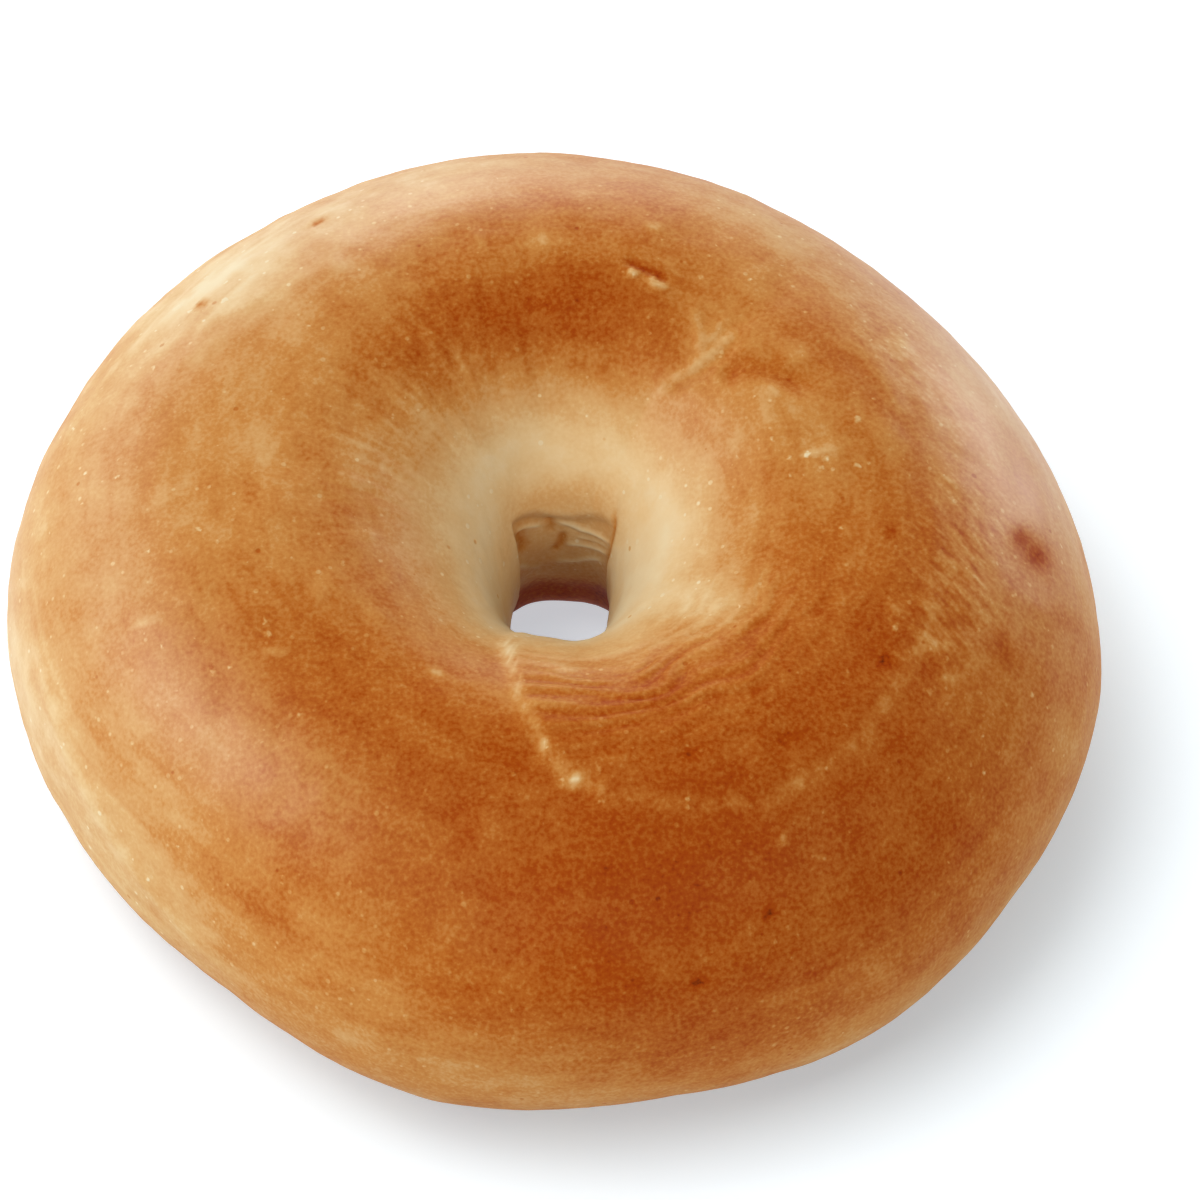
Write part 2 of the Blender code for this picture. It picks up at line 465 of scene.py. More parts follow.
class BagelStageSettings(bpy.types.PropertyGroup):
    """The floor, the lights and the camera."""

    floor_color: color_setting("Floor", "Colour of the plain floor", "#DADEE0")
    floor_glow: FloatProperty(
        name="Floor glow",
        description="How brightly the light table under the floor shines through",
        default=0.44,
        min=0.0,
    )
    # a painted pool of light: the floor glows brighter under the hole
    hole_glow: FloatProperty(
        name="Hole glow",
        description="How brightly the light table shines up through the hole",
        default=0.53,
        min=0.0,
    )
    camera_elevation: FloatProperty(
        name="Camera elevation",
        description="How steeply the camera looks down",
        default=np.radians(55.0),
        subtype="ANGLE",
    )
    camera_distance: FloatProperty(
        name="Camera distance",
        description="From the camera to the middle of the bagel",
        default=0.9,
        unit="LENGTH",
    )
    frame_width: FloatProperty(
        name="Frame width",
        description="Width of the picture at the bagel",
        default=0.12,
        unit="LENGTH",
    )
    surround: FloatProperty(
        name="Surround",
        description="Strength of the white surroundings as a fill light",
        default=0.03,
        min=0.0,
    )


def outline_radius(turn, shape):
    """Distance of the outer rim from the hole's axis: a circle plus a few waves."""
    radius = np.full_like(turn, shape.outer_radius)
    for count, share, first_high in OUTLINE_WAVES:
        radius += share * CAD_WIDTH * np.cos(count * np.radians(turn - first_high))
    return radius


def neck_radius(turn, shape):
    """Distance of the hole's neck from its axis: a superellipse, slightly turned."""
    squareness = 3.0
    angle = np.radians(turn + 6.0)
    across = np.abs(np.cos(angle) / shape.hole_half_x) ** squareness
    along = np.abs(np.sin(angle) / shape.hole_half_y) ** squareness
    return (across + along) ** (-1.0 / squareness)


def lap_edge(turn):
    """Roll of the lap's edge at each turn: high at the lip, swinging out to the rim."""
    lip, flank = 68.0 * bell(turn + 114.0, 22.0), 6.0 * bell(turn + 75.0, 12.0)
    return 62.0 + lip + flank + 8.5 * bell(turn - 12.0, 45.0)


def pressed_flat(height):
    """Height after the base is pressed on the table, with a small rounded corner."""
    corner_size = 1.2 * MM
    corner = (height + corner_size) ** 2 / (4.0 * corner_size)
    corner = np.where(height <= -corner_size, 0.0, corner)
    return np.where(height >= corner_size, height, corner)


def ring_points(turn, roll, shape):
    """Points of the plain ring from turns round it and rolls round the dough, in degrees.

    Four quarters of superellipses meet at the outer rim, the crest, the neck and the
    base.  The radius is the crest's plus a power of the roll's cosine times the reach to
    the rim or the neck, and the height is the rim's plus a power of the roll's sine
    times the rise to the crest or the drop to the base.
    """
    outer = outline_radius(turn, shape)
    neck = neck_radius(turn, shape)
    crest = neck + 0.48 * (outer - neck)
    cosine = np.cos(np.radians(roll))
    sine = np.sin(np.radians(roll))
    is_outer = cosine >= 0.0
    is_top = sine >= 0.0
    top_power = 2.0 / np.where(is_outer, 2.0, 1.9)
    base_power = 2.0 / np.where(is_outer, 2.3, 2.2)
    power = np.where(is_top, top_power, base_power)
    reach = np.where(is_outer, outer - crest, crest - neck)
    radius = crest + reach * signed_power(cosine, power)
    middle = shape.height * np.where(is_outer, 0.42, 0.45)
    rise = np.where(is_top, shape.height - middle, middle + shape.base_sink)
    height = pressed_flat(middle + rise * signed_power(sine, power))
    east = radius * np.cos(np.radians(turn))
    north = radius * np.sin(np.radians(turn))
    return np.stack((east, north, height), axis=-1)


def surface_normals(points):
    """Outward normals of a grid that closes both ways, from its neighbours."""
    along_turn = np.roll(points, -1, axis=0) - np.roll(points, 1, axis=0)
    along_roll = np.roll(points, -1, axis=1) - np.roll(points, 1, axis=1)
    normals = np.cross(along_turn, along_roll)
    return normals / np.maximum(np.linalg.norm(normals, axis=-1, keepdims=True), 1e-12)


def roll_rows():
    """Rolls of the rows round the dough, closer together where the crust wrinkles.

    The rows are even steps of the running sum of a density, which is one, more at the
    lip and the wall of the hole, and less across the base.
    """
    fine = np.linspace(ROLL_START, ROLL_START + 360.0, 3601)
    density = 1.0 + 1.5 * bell(fine - 116.0, 24.0) + 1.3 * bell(fine - 170.0, 16.0)
    density -= 0.75 * smooth_step((fine - 196.0) / 20.0)
    running = np.concatenate(([0.0], np.cumsum((density[1:] + density[:-1]) / 2.0)))
    steps = np.linspace(0.0, running[-1], ROLL_COUNT, endpoint=False)
    return np.interp(steps, running, fine)


class CrustGrid:
    """The grid of the ring: turns and rolls in degrees, points, and a degree's lengths."""

    def __init__(self, shape):
        turns = np.linspace(-180.0, 180.0, TURN_COUNT, endpoint=False)
        rolls = roll_rows()
        self.turn, self.roll = np.meshgrid(turns, rolls, indexing="ij")
        self.points = ring_points(self.turn, self.roll, shape)
        radius = np.hypot(self.points[..., 0], self.points[..., 1])
        self.turn_length = np.radians(1.0) * radius
        along_roll = np.roll(self.points, -1, axis=1) - np.roll(self.points, 1, axis=1)
        spans = np.mod(np.roll(rolls, -1) - np.roll(rolls, 1), 360.0)
        self.roll_length = np.linalg.norm(along_roll, axis=-1) / spans

    def patch(self, turn_middle, turn_width, roll_middle, roll_width):
        """A soft oval patch: one in its middle, fading out at its widths in degrees."""
        across = bell(turn_from(self.turn, turn_middle), turn_width)
        return across * bell(self.roll - roll_middle, roll_width)

    def window(self, turn_start, turn_stop, edge):
        """One between two turns, nought outside, with soft edges of the given degrees."""
        middle = (turn_start + turn_stop) / 2.0
        half = (turn_stop - turn_start) / 2.0
        return smooth_step((half - np.abs(turn_from(self.turn, middle))) / edge + 0.5)

    def oval(self, turn, roll, length, width, tilt=0.0):
        """A bell-shaped oval at a place, its half length and half width in metres.

        Degrees away from the place become lengths along the crust, and the tilt turns
        the oval from the way round the ring towards the way up the dough.
        """
        east = turn_from(self.turn, turn) * self.turn_length
        up = (self.roll - roll) * self.roll_length
        cosine = np.cos(np.radians(tilt))
        sine = np.sin(np.radians(tilt))
        along = (east * cosine + up * sine) / length
        across = (up * cosine - east * sine) / width
        return np.exp(-(along**2) - across**2)

    def stroke(self, path, width):
        """A bell-shaped stroke of a width in metres along a path of (turn, roll) knots.

        The distance is to the nearest point of each straight stretch, in lengths along
        the crust; the stroke thins out over the last fifth at both ends.
        """
        nearest = np.full(self.turn.shape, np.inf)
        place = np.zeros(self.turn.shape)
        stretches = len(path) - 1
        for number, (start, stop) in enumerate(zip(path, path[1:])):
            east = turn_from(self.turn, start[0]) * self.turn_length
            up = (self.roll - start[1]) * self.roll_length
            run = turn_from(stop[0], start[0]) * self.turn_length
            rise = (stop[1] - start[1]) * self.roll_length
            share = np.clip((east * run + up * rise) / (run**2 + rise**2), 0.0, 1.0)
            distance = np.hypot(east - share * run, up - share * rise)
            closer = distance < nearest
            nearest = np.where(closer, distance, nearest)
            place = np.where(closer, (number + share) / stretches, place)
        taper = smooth_step(place / 0.2) * smooth_step((1.0 - place) / 0.2)
        return bell(nearest, width) * (0.15 + 0.85 * taper)

    def unevenness(self, wavelength, seed):
        """A smooth random field over the crust, of usual size one; wavelength in metres."""
        return random_field(self.points, wavelength, seed)

    def streaks(self, turn_pitch, roll_pitch, seed, waves=48):
        """A random field drawn out one way: short pitches across, long ones along.

        It is the sum of waves that go a whole number of times round the ring and round
        the dough, so that it closes both ways; the pitches are in degrees.
        """
        draw = np.random.default_rng(seed)
        turn_counts = np.rint(draw.normal(size=waves) * 360.0 / turn_pitch)
        roll_counts = np.rint(draw.normal(size=waves) * 360.0 / roll_pitch)
        phases = draw.uniform(0.0, 2.0 * np.pi, size=waves)
        total = np.zeros(self.turn.shape)
        for turn_count, roll_count, phase in zip(turn_counts, roll_counts, phases):
            angle = np.radians(turn_count * self.turn + roll_count * self.roll)
            total += np.cos(angle + phase)
        return total * np.sqrt(2.0 / waves)


def lap_distance(grid):
    """Distance in metres past the lap's edge, positive on its inner side.

    The difference of rolls becomes a length, and is shortened by the edge's own slope.
    """
    edge = lap_edge(grid.turn)
    slope = (lap_edge(grid.turn + 0.5) - lap_edge(grid.turn - 0.5)) * grid.roll_length
    past = (grid.roll - edge) * grid.roll_length
    return past / np.hypot(1.0, slope / grid.turn_length)


def tuck_distance(grid):
    """Distance in metres from the tucked end's crease, positive on the lap's side."""
    knots = np.array(TUCK_CREASE)
    crease = np.interp(grid.roll, knots[:, 1], knots[:, 0])
    return (crease - grid.turn) * grid.turn_length


def lap_relief(grid, shape):
    """The lapped end of the rope: a soft step past its edge, which fades inwards."""
    distance = lap_distance(grid)
    step = smooth_step(distance / (2.6 * MM) + 0.5)
    step *= 1.0 - smooth_step(distance / (22.0 * MM))
    ends = smooth_step((grid.turn + 116.0) / 8.0) * smooth_step((50.0 - grid.turn) / 6.0)
    bold = 0.25 + 0.30 * bell(grid.turn + 105.0, 22.0)
    return shape.lap_height * step * ends * bold


def between(values, start, stop, edge):
    """One between two values, nought outside, with soft edges of the given size."""
    return smooth_step((values - start) / edge + 0.5) * smooth_step((stop - values) / edge + 0.5)


def tuck_relief(grid):
    """The tucked end at the back right: a swell that stops short at its crease.

    On the crest the crease is a groove beside a raised lip; in the hole it is a cleft.
    """
    distance = tuck_distance(grid)
    height = 0.60 * MM * grid.patch(30.0, 20.0, 101.0, 15.0) * smooth_step(distance / (1.6 * MM) + 0.5)
    crest = between(grid.roll, 98.0, 118.0, 7.0)
    height += 0.15 * MM * bell(distance + 0.4 * MM, 0.5 * MM) * crest
    height -= 0.30 * MM * bell(distance - 0.7 * MM, 0.7 * MM) * crest
    height -= 0.08 * MM * bell(distance, 0.8 * MM) * between(grid.roll, 116.0, 154.0, 8.0)
    return height


def lip_wave(grid):
    """Wrinkles along the front lip: a wave of the roll, bent and broken up at random."""
    bend = 0.20 * grid.streaks(26.0, 24.0, 31) + 0.012 * (grid.turn + 110.0)
    wave = np.sin(2.0 * np.pi * (grid.roll / 5.6 + bend))
    broken = np.clip(0.9 + 0.35 * grid.streaks(18.0, 8.0, 32), 0.0, 1.7)
    place = grid.window(-120.0, -30.0, 40.0) * bell(grid.roll - 103.0, 18.0)
    return wave * broken * place * smooth_step(lap_distance(grid) / (1.5 * MM))


def wall_recess(grid):
    """Where the back wall of the hole steps in below its lip: one there, else nought."""
    edge = 157.0 + 5.0 * bell(turn_from(grid.turn, 86.0), 26.0)
    recess = smooth_step((grid.roll - edge) / 5.0) * smooth_step((210.0 - grid.roll) / 12.0)
    return grid.window(48.0, 128.0, 6.0) * recess


def relief(grid, shape):
    """Height of the crust's relief in metres, along the normals."""
    height = 0.22 * MM * grid.unevenness(38.0 * MM, 11)
    height += 0.04 * MM * grid.unevenness(12.0 * MM, 12)
    height += 0.022 * MM * grid.unevenness(5.0 * MM, 13)
    height += 0.012 * MM * grid.unevenness(2.2 * MM, 14)
    height += lap_relief(grid, shape) + tuck_relief(grid)
    height += shape.wrinkle_depth * lip_wave(grid)
    # the recess runs deeper at its left end
    deeper = 1.0 + 0.35 * np.clip((grid.turn - 88.0) / 38.0, -1.0, 1.0)
    height -= shape.wall_fold_depth * deeper * wall_recess(grid)
    # Drawn streaks: into the hole at the back left, and round the ring elsewhere.
    height += 0.035 * MM * grid.streaks(5.0, 34.0, 34) * grid.patch(150.0, 40.0, 112.0, 18.0)
    height += 0.012 * MM * grid.streaks(20.0, 5.0, 35) * grid.patch(15.0, 45.0, 58.0, 22.0)
    height += 0.025 * MM * grid.streaks(20.0, 5.0, 36) * grid.patch(120.0, 60.0, 62.0, 22.0)
    for path, width, rise, _ in STROKES:
        height += rise * MM * grid.stroke(path, width * MM)
    for turn, roll, length, width, tilt, rise, _ in MARKS:
        height += rise * MM * grid.oval(turn, roll, length * MM, width * MM, tilt)
    return height


def scattered_blisters(grid, count):
    """Small raised blisters at random places on the top and the sides, as one height."""
    draw = np.random.default_rng(41)
    height = np.zeros(grid.turn.shape)
    for _ in range(count):
        turn, roll = draw.uniform(-180.0, 180.0), draw.uniform(-15.0, 118.0)
        size = draw.uniform(0.5, 1.1) * MM
        spot = grid.oval(turn, roll, size * draw.uniform(1.0, 2.2), size, draw.uniform(-90.0, 90.0))
        height += draw.uniform(0.3, 1.0) * spot
    return height


def bake_and_shade_level(grid):
    """How far the crust is baked, from 0, cream, to 1.25, scorched, by place.

    A profile over the roll, plus lobes, mottling, streaks, folds and marks; in the hole, its
    recess, its clefts and the lip's wrinkles part of the darkening is painted shade.
    """
    level = np.interp(grid.roll, *np.transpose(BAKE_AND_SHADE_STOPS))
    for turn, turn_width, roll, roll_width, change in BAKE_AND_SHADE_LOBES:
        level += change * grid.patch(turn, turn_width, roll, roll_width)
    outside = 1.0 - smooth_step((grid.roll - 118.0) / 18.0)
    calm = (0.35 + 0.65 * outside) * (1.0 - 0.5 * grid.patch(10.0, 30.0, 50.0, 24.0))
    level += 0.028 * grid.unevenness(24.0 * MM, 21) * calm
    level += 0.022 * grid.unevenness(8.0 * MM, 22) * calm
    level += 0.018 * grid.unevenness(3.0 * MM, 23) * calm
    level += 0.042 * grid.streaks(5.0, 30.0, 24) * grid.patch(135.0, 55.0, 110.0, 18.0)
    level += 0.020 * grid.streaks(24.0, 5.0, 25) * outside
    # The lap's edge is a thin pale line, bolder near the lip, broken and wavering.
    waver = 0.25 * MM * grid.streaks(14.0, 40.0, 27)
    edge = bell(lap_distance(grid) + waver, 0.8 * MM)
    ends = between(grid.turn, -112.0, -17.0, 8.0)
    bold = 0.12 + 0.09 * bell(grid.turn + 92.0, 18.0) + 0.06 * grid.streaks(4.0, 20.0, 26)
    bold += 0.07 * bell(grid.turn + 40.0, 22.0)
    level -= bold * edge * ends
    # The tucked end's crease is pale above.
    crease = bell(tuck_distance(grid) + 0.3 * MM, 0.6 * MM)
    level -= 0.21 * crease * between(grid.roll, 99.0, 117.0, 7.0)
    # the lip's wrinkles: darker grooves and paler crests, partly browning, partly painted shade
    level -= 0.085 * lip_wave(grid)
    # painted shade in the recess of the back wall of the hole
    level += 0.11 * wall_recess(grid) * (1.0 - smooth_step((grid.roll - 186.0) / 8.0))
    for path, width, _, change in STROKES:
        level += change * grid.stroke(path, width * MM)
    for turn, roll, length, width, tilt, _, change in MARKS:
        level += change * grid.oval(turn, roll, length * MM, width * MM, tilt)
    return level


def add_lobes(grid, base, lobes):
    """A base value plus soft oval patches, kept between 0 and 1."""
    level = np.full(grid.roll.shape, base)
    for turn, turn_width, roll, roll_width, change in lobes:
        level += change * grid.patch(turn, turn_width, roll, roll_width)
    return np.clip(level, 0.0, 1.0)


def glaze(grid):
    """How thickly boiling glazed the crust, from 0 to 1, by place: little on a scorch."""
    level = add_lobes(grid, 0.05, GLAZE_LOBES)
    for turn, roll, length, width, tilt, _, change in MARKS:
        dull = np.clip(2.2 * change, 0.0, 0.95)
        level *= 1.0 - dull * grid.oval(turn, roll, 1.5 * length * MM, 1.5 * width * MM, tilt)
    return level * (1.0 - smooth_step((grid.roll - 150.0) / 20.0))


def fleck_share(grid):
    """How thickly pale flecks lie, from 0 to 1: most along the lap's edge and in lobes."""
    level = add_lobes(grid, 0.42, FLECK_LOBES)
    level += 0.5 * bell(lap_distance(grid), 1.3 * MM) * between(grid.turn, -108.0, -14.0, 8.0)
    return np.clip(level, 0.0, 1.0) * (1.0 - smooth_step((grid.roll - 112.0) / 16.0))


def add_attribute(mesh, name, values):
    """Store one number for each point of a mesh."""
    attribute = mesh.attributes.new(name, "FLOAT", "POINT")
    attribute.data.foreach_set("value", values.ravel().astype(np.float32))


def grid_faces(turn_count, roll_count):
    """Four-sided faces of a grid that closes both ways, pointing outwards."""
    here = np.arange(turn_count * roll_count).reshape(turn_count, roll_count)
    next_turn = np.roll(here, -1, axis=0)
    next_roll = np.roll(here, -1, axis=1)
    across = np.roll(next_turn, -1, axis=1)
    return np.stack((here, next_turn, across, next_roll), axis=-1).reshape(-1, 4)


def add_node(tree, kind, inputs=None, stops=(), **settings):
    """Add a node with its settings; each input is a value or a socket to link from."""
    node = tree.nodes.new(kind)
    for name, value in settings.items():
        setattr(node, name, value)
    for name, value in (inputs or {}).items():
        if isinstance(value, bpy.types.NodeSocket):
            tree.links.new(value, node.inputs[name])
        else:
            node.inputs[name].default_value = value
    if stops:
        elements = node.color_ramp.elements
        while len(elements) < len(stops):
            elements.new(1.0)
        for element, (position, color) in zip(elements, stops):
            element.position = position
            element.color = (*color[:3], 1.0)
    return node


def add_sum(tree, value, factor, base, offset=0.0):
    """The output of value times factor, plus base, plus an offset."""
    scaled = add_node(
        tree, "ShaderNodeMath", {0: value, 1: factor, 2: offset}, operation="MULTIPLY_ADD"
    )
    total = add_node(tree, "ShaderNodeMath", {0: scaled.outputs["Value"], 1: base})
    return total.outputs["Value"]


def add_noise(tree, place, size, detail):
    """The output of a noise whose lumps are about a size in metres."""
    noise = add_node(
        tree, "ShaderNodeTexNoise", {"Vector": place, "Scale": 1.0 / size, "Detail": detail}
    )
    return noise.outputs["Fac"]


def add_spots(tree, place, spacing, radius, share=1.0):
    """The output of scattered round spots: one in the middle of some cells, else nought.

    The share, a number or a socket, scales how many cells hold a spot and its size.
    """
    cells = add_node(tree, "ShaderNodeTexVoronoi", {"Vector": place, "Scale": 1.0 / spacing})
    chance = add_node(tree, "ShaderNodeSeparateColor", {"Color": cells.outputs["Color"]})
    reach = add_node(
        tree,
        "ShaderNodeMapRange",
        {
            "Value": chance.outputs["Red"],
            "From Min": 0.25,
            "From Max": 1.0,
            "To Min": -0.5 * radius / spacing,
            "To Max": radius / spacing,
        },
        clamp=False,
    )
    scaled = add_node(
        tree, "ShaderNodeMath", {0: reach.outputs["Result"], 1: share}, operation="MULTIPLY"
    )
    inside = add_node(
        tree,
        "ShaderNodeMath",
        {0: scaled.outputs["Value"], 1: cells.outputs["Distance"]},
        operation="SUBTRACT",
    )
    spot = add_node(
        tree,
        "ShaderNodeMapRange",
        {"Value": inside.outputs["Value"], "From Min": 0.0, "From Max": 0.4 * radius / spacing},
    )
    return spot.outputs["Result"]


def make_crust_material(crust):
    """Boiled and baked wheat dough: a thin, tight, satin crust.

    Its fine grain, pale specks of starch and dark pores change the bake level a little
    and stand proud or sink in a little.
    """
    material = bpy.data.materials.new("baked_bagel_crust")
    material.use_nodes = True
    tree = material.node_tree
    tree.nodes.clear()
    place = add_node(tree, "ShaderNodeTexCoord").outputs["Object"]
    bake_and_shade = add_node(tree, "ShaderNodeAttribute", attribute_name="bake_and_shade").outputs["Fac"]
    flecked = add_node(tree, "ShaderNodeAttribute", attribute_name="flecks").outputs["Fac"]
    drawn = add_node(tree, "ShaderNodeAttribute", attribute_name="drawn").outputs["Fac"]
    mottle = add_noise(tree, place, 3.5 * MM, 4.0)
    grain = add_noise(tree, place, crust.grain_size, 3.0)
    # the flecks are irregular, because their places are shaken by a noise
    shake = add_node(
        tree, "ShaderNodeTexNoise", {"Vector": place, "Scale": 1.0 / (0.7 * MM), "Detail": 1.0}
    )
    shaken = add_node(
        tree,
        "ShaderNodeVectorMath",
        {0: shake.outputs["Color"], 1: (0.9 * MM,) * 3, 2: place},
        operation="MULTIPLY_ADD",
    )
    flecks = add_spots(tree, shaken.outputs["Vector"], 1.7 * MM, 0.62 * MM, flecked)
    specks = add_spots(tree, place, 1.2 * MM, 0.33 * MM)
    pores = add_spots(tree, place, 2.6 * MM, 0.36 * MM)
    # strokes in the drawn skin: a noise four times as long as it is wide
    slant = Vector(DRAWN_ALONG).to_track_quat("X", "Z").to_euler()
    along = add_node(
        tree,
        "ShaderNodeMapping",
        {"Vector": place, "Rotation": slant, "Scale": (3.4, 1.0, 1.0)},
        vector_type="TEXTURE",
    )
    strokes = add_noise(tree, along.outputs["Vector"], 0.72 * MM, 1.0)
    stroke = add_node(tree, "ShaderNodeMath", {0: strokes, 1: 0.5}, operation="SUBTRACT")
    tight = add_node(
        tree, "ShaderNodeMath", {0: stroke.outputs["Value"], 1: drawn}, operation="MULTIPLY"
    )
    level = add_sum(tree, mottle, 0.14, bake_and_shade, -0.07)
    # the grain shows only where the level is raised: on browned crust, and on painted shade
    fleck = add_node(tree, "ShaderNodeMath", {0: grain, 1: 0.5}, operation="SUBTRACT")
    shown = add_node(
        tree, "ShaderNodeMath", {0: fleck.outputs["Value"], 1: bake_and_shade}, operation="MULTIPLY"
    )
    level = add_sum(tree, shown.outputs["Value"], crust.grain_contrast, level)
    level = add_sum(tree, tight.outputs["Value"], 0.75, level)
    level = add_sum(tree, flecks, -0.32, level)
    level = add_sum(tree, specks, -0.16, level)
    level = add_sum(tree, pores, 0.20, level)
    share = add_node(tree, "ShaderNodeMath", {0: level, 1: SCORCHED}, operation="DIVIDE")
    ramp = add_node(
        tree,
        "ShaderNodeValToRGB",
        {"Fac": share.outputs["Value"]},
        stops=(
            (0.0, crust.cream),
            (0.08 / SCORCHED, crust.straw),
            (0.20 / SCORCHED, crust.golden),
            (0.40 / SCORCHED, crust.amber),
            (0.60 / SCORCHED, crust.russet),
            (0.80 / SCORCHED, crust.chestnut),
            (0.96 / SCORCHED, crust.mahogany),
            (1.0, crust.scorched),
        ),
    )
    rise = add_sum(tree, specks, 0.8, grain)
    rise = add_sum(tree, flecks, 1.6, rise)
    rise = add_sum(tree, tight.outputs["Value"], -3.0, rise)
    rise = add_sum(tree, pores, -1.2, rise)
    bump = add_node(
        tree, "ShaderNodeBump", {"Height": rise, "Distance": crust.grain_height, "Strength": 1.0}
    )
    glaze_level = add_node(tree, "ShaderNodeAttribute", attribute_name="glaze").outputs["Fac"]
    gloss = add_sum(tree, mottle, 0.10, crust.roughness, -0.05)
    shader = add_node(
        tree,
        "ShaderNodeBsdfPrincipled",
        {
            "Base Color": ramp.outputs["Color"],
            "Roughness": gloss,
            "Specular IOR Level": crust.shine,
            "Coat Weight": glaze_level,
            "Coat Roughness": crust.glaze_roughness,
            "Normal": bump.outputs["Normal"],
        },
    )
    add_node(tree, "ShaderNodeOutputMaterial", {"Surface": shader.outputs["BSDF"]})
    return material


def new_object(name, mesh):
    """A linked object at the origin that holds a mesh."""
    made = bpy.data.objects.new(name, mesh)
    bpy.context.scene.collection.objects.link(made)
    return made


class BAGEL_OT_make_crust(bpy.types.Operator):
    """Make the baked ring, which stands for the plain solid of the frame"""

    bl_idname = "bagel.make_crust"
    bl_label = "Make Crust"
    bl_options = {"REGISTER", "UNDO"}

    def execute(self, context):
        shape = context.scene.bagel_shape
        grid = CrustGrid(shape)
        blisters = scattered_blisters(grid, shape.blister_count)
        height = relief(grid, shape) + 0.10 * MM * blisters
        height *= smooth_step(grid.points[..., 2] / (2.0 * MM))
        points = grid.points + surface_normals(grid.points) * height[..., None]
        low = points.min(axis=(0, 1))
        high = points.max(axis=(0, 1))
        points[..., :2] += np.array(CAD_MIDDLE)[:2] - (low[:2] + high[:2]) / 2.0
        mesh = bpy.data.meshes.new("baked_ring")
        mesh.from_pydata(points.reshape(-1, 3), [], grid_faces(*grid.turn.shape))
        level = np.clip(bake_and_shade_level(grid) - 0.10 * blisters, 0.0, SCORCHED)
        crust = context.scene.bagel_crust
        add_attribute(mesh, "bake_and_shade", level)
        add_attribute(mesh, "glaze", glaze(grid))
        add_attribute(mesh, "flecks", fleck_share(grid))
        add_attribute(mesh, "drawn", add_lobes(grid, 0.0, DRAWN_LOBES))
        mesh.shade_smooth()
        mesh.materials.append(make_crust_material(crust))
        ring = new_object("baked_ring", mesh)
        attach(ring, "root")
        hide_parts("bagel")
        return {"FINISHED"}


def aim(thing, place, target):
    """Put a light or camera at a place and turn it to look at a target."""
    thing.location = place
    thing.rotation_euler = (Vector(target) - Vector(place)).to_track_quat("-Z", "Y").to_euler()


def add_softbox(name, middle, azimuth, elevation, power, shines, width=SOFTBOX_WIDTH):
    """A square area light that faces the middle from an azimuth and elevation."""
    light = bpy.data.lights.new(name, "AREA")
    light.shape = "SQUARE"
    light.size = width
    light.energy = power
    around, above = np.radians(azimuth), np.radians(elevation)
    direction = (np.cos(above) * np.cos(around), np.cos(above) * np.sin(around), np.sin(above))
    softbox = new_object(name, light)
    softbox.visible_camera = False
    softbox.visible_glossy = shines
    aim(softbox, middle + Vector(direction) * SOFTBOX_DISTANCE, middle)
    return softbox


def link_light(softbox, floor, state):
    """Light the floor alone, or with state EXCLUDE everything but the floor."""
    lit = bpy.data.collections.new(softbox.name + "_reach")
    lit.objects.link(floor)
    lit.collection_objects[0].light_linking.link_state = state
    softbox.light_linking.receiver_collection = lit


def make_floor_material(stage):
    """Opal acrylic of a light table: matt, milky, glowing evenly, and brighter under the hole as a painted
    pool of light.
    """
    opal = bpy.data.materials.new("opal_acrylic_light_table")
    opal.use_nodes = True
    tree = opal.node_tree
    surface = tree.nodes["Principled BSDF"]
    surface.inputs["Base Color"].default_value = (*stage.floor_color, 1.0)
    surface.inputs["Roughness"].default_value = 0.9
    surface.inputs["Specular IOR Level"].default_value = 0.0
    surface.inputs["Emission Color"].default_value = (0.87, 1.0, 1.08, 1.0)
    place = add_node(tree, "ShaderNodeTexCoord").outputs["Object"]
    # a painted pool of light under the hole: the hole's glow out to 0.2 of the width, fading to the floor's
    # by 0.4
    far = add_node(tree, "ShaderNodeVectorMath", {0: place}, operation="LENGTH")
    glow = add_node(
        tree,
        "ShaderNodeMapRange",
        {
            "Value": far.outputs["Value"],
            "From Min": 0.2 * CAD_WIDTH,
            "From Max": 0.4 * CAD_WIDTH,
            "To Min": stage.hole_glow,
            "To Max": stage.floor_glow,
        },
        interpolation_type="SMOOTHSTEP",
    )
    tree.links.new(glow.outputs["Result"], surface.inputs["Emission Strength"])
    return opal


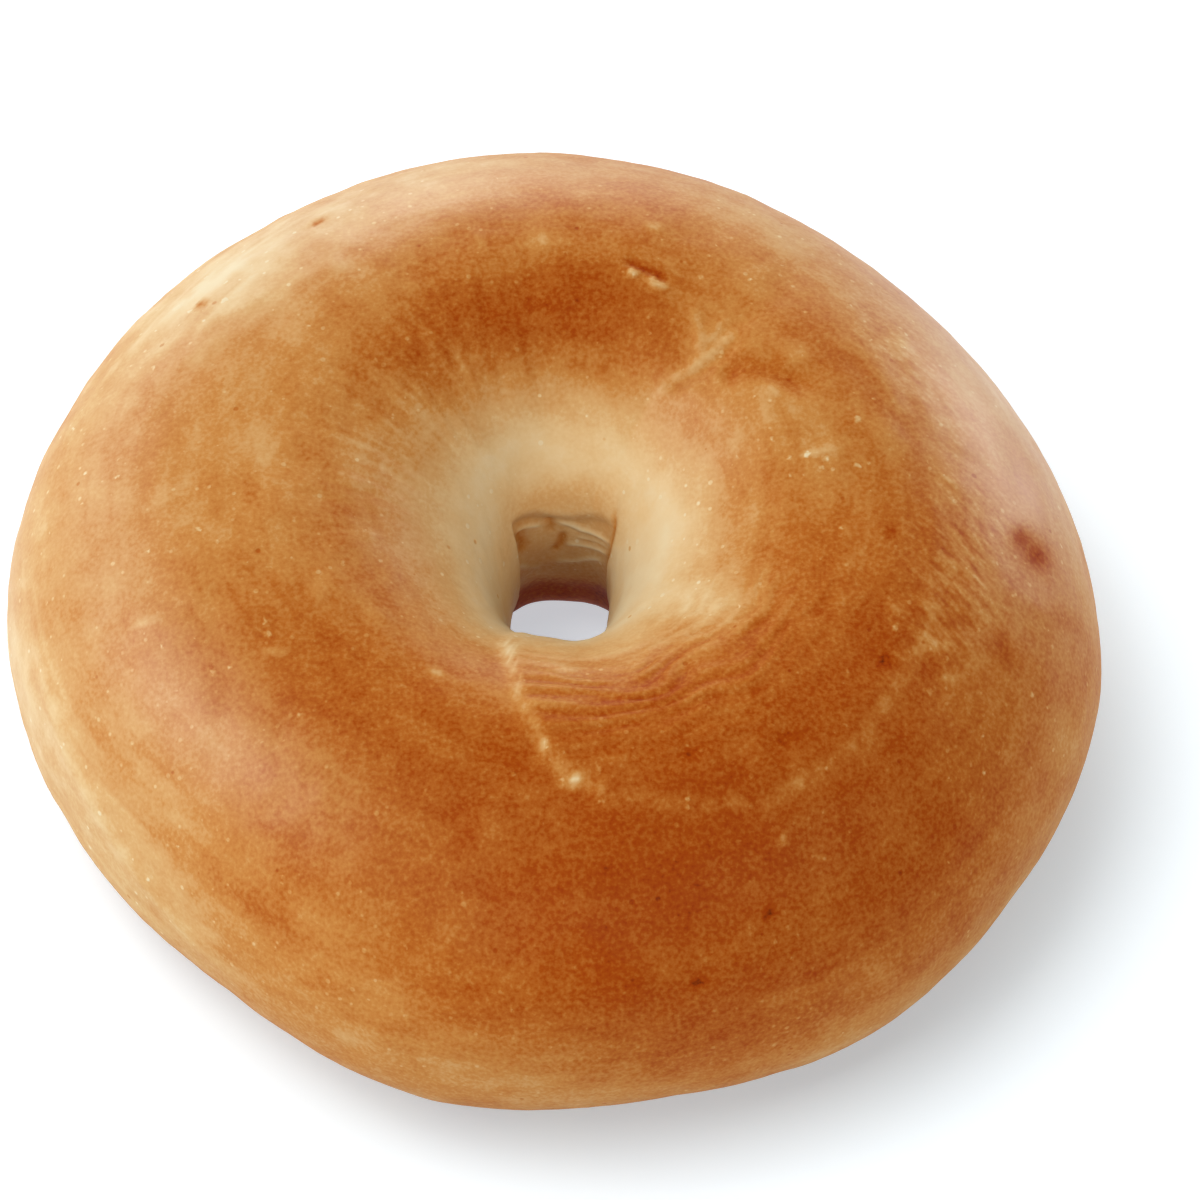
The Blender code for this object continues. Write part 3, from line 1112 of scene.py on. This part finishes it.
class BAGEL_OT_make_stage(bpy.types.Operator):
    """Make the pale floor, the soft lights, the white surroundings and the camera"""

    bl_idname = "bagel.make_stage"
    bl_label = "Make Stage"
    bl_options = {"REGISTER", "UNDO"}

    def execute(self, context):
        stage = context.scene.bagel_stage
        middle = Vector((CAD_MIDDLE.x, CAD_MIDDLE.y, 18.0 * MM))
        half = 3.0
        mesh = bpy.data.meshes.new("studio_floor")
        corners = [(-half, -half, 0.0), (half, -half, 0.0), (half, half, 0.0), (-half, half, 0.0)]
        mesh.from_pydata(corners, [], [(0, 1, 2, 3)])
        mesh.materials.append(make_floor_material(stage))
        floor = new_object("studio_floor", mesh)
        for name, azimuth, elevation, power, shines in SOFTBOXES:
            softbox = add_softbox(name, middle, azimuth, elevation, power, shines)
            link_light(softbox, floor, "EXCLUDE")
        for name, azimuth, elevation, power, width in TABLE_SOFTBOXES:
            softbox = add_softbox(name, middle, azimuth, elevation, power, False, width)
            link_light(softbox, floor, "INCLUDE")
        world = bpy.data.worlds.new("white_surroundings")
        world.use_nodes = True
        tree = world.node_tree
        background = tree.nodes["Background"]
        background.inputs["Color"].default_value = (1.0, 1.0, 1.0, 1.0)
        # white to the camera, but only a faint fill for the bagel
        ray = add_node(tree, "ShaderNodeLightPath")
        seen = add_node(
            tree, "ShaderNodeMath", {0: ray.outputs["Is Camera Ray"], 1: stage.surround}, operation="MAXIMUM"
        )
        tree.links.new(seen.outputs["Value"], background.inputs["Strength"])
        context.scene.world = world
        camera = bpy.data.cameras.new("studio_camera")
        camera.sensor_width = 36.0
        camera.lens = camera.sensor_width * stage.camera_distance / stage.frame_width
        viewer = new_object("studio_camera", camera)
        back = Vector((0.0, -np.cos(stage.camera_elevation), np.sin(stage.camera_elevation)))
        up = Vector((0.0, np.sin(stage.camera_elevation), np.cos(stage.camera_elevation)))
        # the bagel stands a little left of the picture's middle and below it
        target = middle + Vector((0.00466, -0.00024, 0.0)) + up * 0.0013
        aim(viewer, target + back * stage.camera_distance, target)
        context.scene.camera = viewer
        context.scene.view_settings.view_transform = "Standard"
        return {"FINISHED"}


class BAGEL_PT_panel(bpy.types.Panel):
    """The bagel's settings and its operators"""

    bl_label = "Bagel"
    bl_idname = "BAGEL_PT_panel"
    bl_space_type = "VIEW_3D"
    bl_region_type = "UI"
    bl_category = "Bagel"

    def draw(self, context):
        for group in (
            context.scene.bagel_shape,
            context.scene.bagel_crust,
            context.scene.bagel_stage,
        ):
            box = self.layout.box()
            for name in group.__annotations__:
                box.prop(group, name)
        for operator in OPERATORS:
            self.layout.operator(operator.bl_idname)


SETTINGS = {
    "bagel_shape": BagelShapeSettings,
    "bagel_crust": BagelCrustSettings,
    "bagel_stage": BagelStageSettings,
}
OPERATORS = (BAGEL_OT_make_crust, BAGEL_OT_make_stage)
CLASSES = (*SETTINGS.values(), *OPERATORS, BAGEL_PT_panel)


def register():
    """Register the classes and hang the settings on the scene."""
    for made in CLASSES:
        bpy.utils.register_class(made)
    for name, group in SETTINGS.items():
        setattr(bpy.types.Scene, name, PointerProperty(type=group))


def unregister():
    """Take the settings off the scene and unregister the classes."""
    for name in SETTINGS:
        delattr(bpy.types.Scene, name)
    for made in reversed(CLASSES):
        bpy.utils.unregister_class(made)


def main():
    """Register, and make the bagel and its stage."""
    register()
    bpy.ops.bagel.make_crust()
    bpy.ops.bagel.make_stage()


if __name__ == "__main__":
    main()
